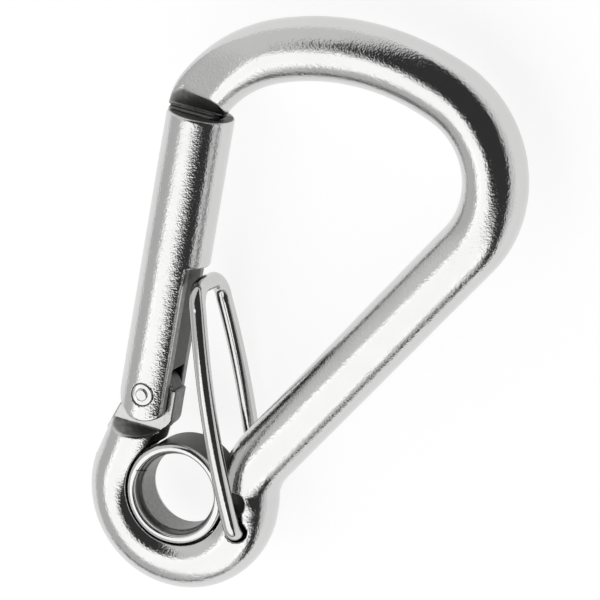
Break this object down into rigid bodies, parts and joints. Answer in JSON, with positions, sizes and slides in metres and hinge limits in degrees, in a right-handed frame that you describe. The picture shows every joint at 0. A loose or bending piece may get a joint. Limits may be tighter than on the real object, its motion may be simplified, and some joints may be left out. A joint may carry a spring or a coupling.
{
  "type": "eye hook with latch",
  "caption": "Stainless bent-bar spring hook lying flat, with a hinged gate, a sprung wire latch that blocks it and a metal bushing in its eye",
  "frame": {"origin": "bottom centre of the bounding box, with the hook lying flat on the lowest point of the latch wire's legs", "axes": "X from the gate side to the bowl side, Y along the closed gate from the eye to the bowl, Z the hook plane's normal; the front face looks up"},
  "size_m": [0.0626, 0.0972, 0.0177],
  "materials": {
    "bar_steel": "tumble-polished stainless steel",
    "ferrule_steel": "polished stainless tube with turned-over lips",
    "gate_steel": "tumble-polished stainless steel",
    "rivet_steel": "peened stainless rivet",
    "wire_steel": "polished stainless spring wire"
  },
  "bodies": {
    "hook": {"hook_body": "bar_steel", "eyelet_ferrule": "ferrule_steel", "gate_rivet": "rivet_steel"},
    "gate": {"gate": "gate_steel"},
    "latch": {"latch_wire": "wire_steel"}
  },
  "joints": [
    {"name": "gate_hinge", "type": "hinge", "parent": "hook", "child": "gate", "pos_m": [-0.02345, -0.01769, 0.00884], "axis": [0, 0, 1], "range_deg": [-30, 0], "stiffness_Nm_per_rad": 0.3, "springref_deg": 28.65},
    {"name": "latch_hinge", "type": "hinge", "parent": "hook", "child": "latch", "pos_m": [-0.00429, -0.03555, 0.00884], "axis": [0, 0, 1], "range_deg": [-35, 0]}
  ],
  "couplings": [
    {"joint": "latch_hinge", "follows": "gate_hinge", "ratio": 1.15}
  ]
}
